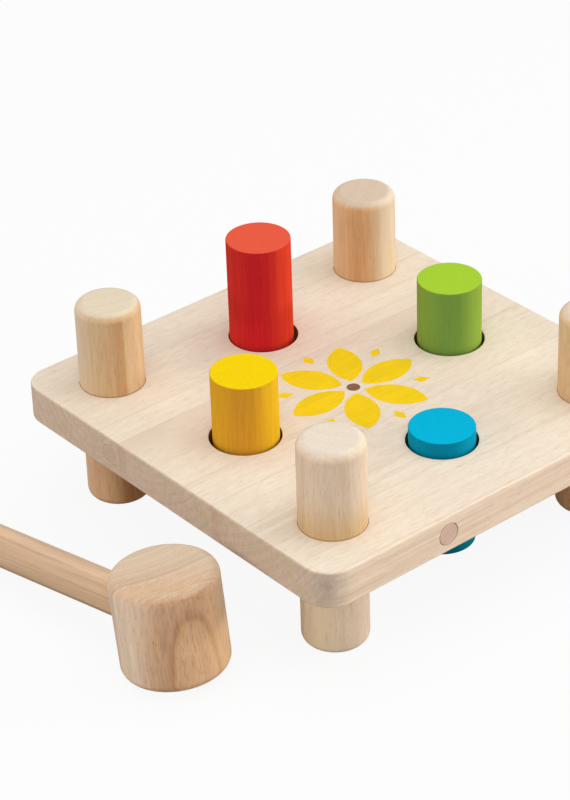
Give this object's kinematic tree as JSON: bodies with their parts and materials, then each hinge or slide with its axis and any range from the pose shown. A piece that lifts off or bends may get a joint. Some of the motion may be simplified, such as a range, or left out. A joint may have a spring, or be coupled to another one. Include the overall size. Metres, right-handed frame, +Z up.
{
  "type": "peg pounding bench with mallet",
  "caption": "Square wooden pounding bench on through-dowel legs: stained pegs slide in loose holes, gripped by hidden rubber rods, and a round-headed mallet drives them.",
  "frame": {"origin": "middle of the footprint of the whole set, bench and mallet together, on the surface that it stands on", "axes": "+Z up; +X along the grain of the deck's staves, away from the mallet; +Y across the staves, towards the red peg"},
  "size_m": [0.2314, 0.1798, 0.093],
  "materials": {
    "deck_wood": "fine sanded pale hardwood, clear matt lacquer",
    "leg_wood": "sanded hardwood dowel, clear matt lacquer",
    "dowel_wood": "sawn end grain, sanded flush",
    "mallet_wood": "turned hardwood, clear matt lacquer",
    "rod_rubber": "plain moulded rubber",
    "red_stain": "stained hardwood with the grain showing",
    "yellow_stain": "stained hardwood with the grain showing",
    "green_stain": "stained hardwood with the grain showing",
    "blue_stain": "stained hardwood with the grain showing"
  },
  "bodies": {
    "bench": {"deck_stave_front": "deck_wood", "deck_stave_middle": "deck_wood", "deck_stave_back": "deck_wood", "leg_front": "leg_wood", "leg_right": "leg_wood", "leg_back": "leg_wood", "leg_left": "leg_wood", "friction_rod_red": "rod_rubber", "friction_rod_yellow": "rod_rubber", "friction_rod_green": "rod_rubber", "friction_rod_blue": "rod_rubber", "retaining_dowel_red": "dowel_wood", "retaining_dowel_yellow": "dowel_wood", "retaining_dowel_green": "dowel_wood", "retaining_dowel_blue": "dowel_wood"},
    "red_peg": {"peg_red": "red_stain"},
    "yellow_peg": {"peg_yellow": "yellow_stain"},
    "green_peg": {"peg_green": "green_stain"},
    "blue_peg": {"peg_blue": "blue_stain"},
    "mallet": {"mallet_head": "mallet_wood", "mallet_handle": "mallet_wood"}
  },
  "joints": [
    {"name": "red_peg_slide", "type": "slide", "parent": "bench", "child": "red_peg", "axis": [0, 0, 1], "range_m": [-0.043, 0]},
    {"name": "yellow_peg_slide", "type": "slide", "parent": "bench", "child": "yellow_peg", "axis": [0, 0, 1], "range_m": [-0.0275, 0.0155]},
    {"name": "green_peg_slide", "type": "slide", "parent": "bench", "child": "green_peg", "axis": [0, 0, 1], "range_m": [-0.0265, 0.0165]},
    {"name": "blue_peg_slide", "type": "slide", "parent": "bench", "child": "blue_peg", "axis": [0, 0, 1], "range_m": [-0.006, 0.037]},
    {"name": "mallet_lift", "type": "slide", "parent": "bench", "child": "mallet", "axis": [0, 0, 1], "range_m": [0, 0.15]}
  ]
}
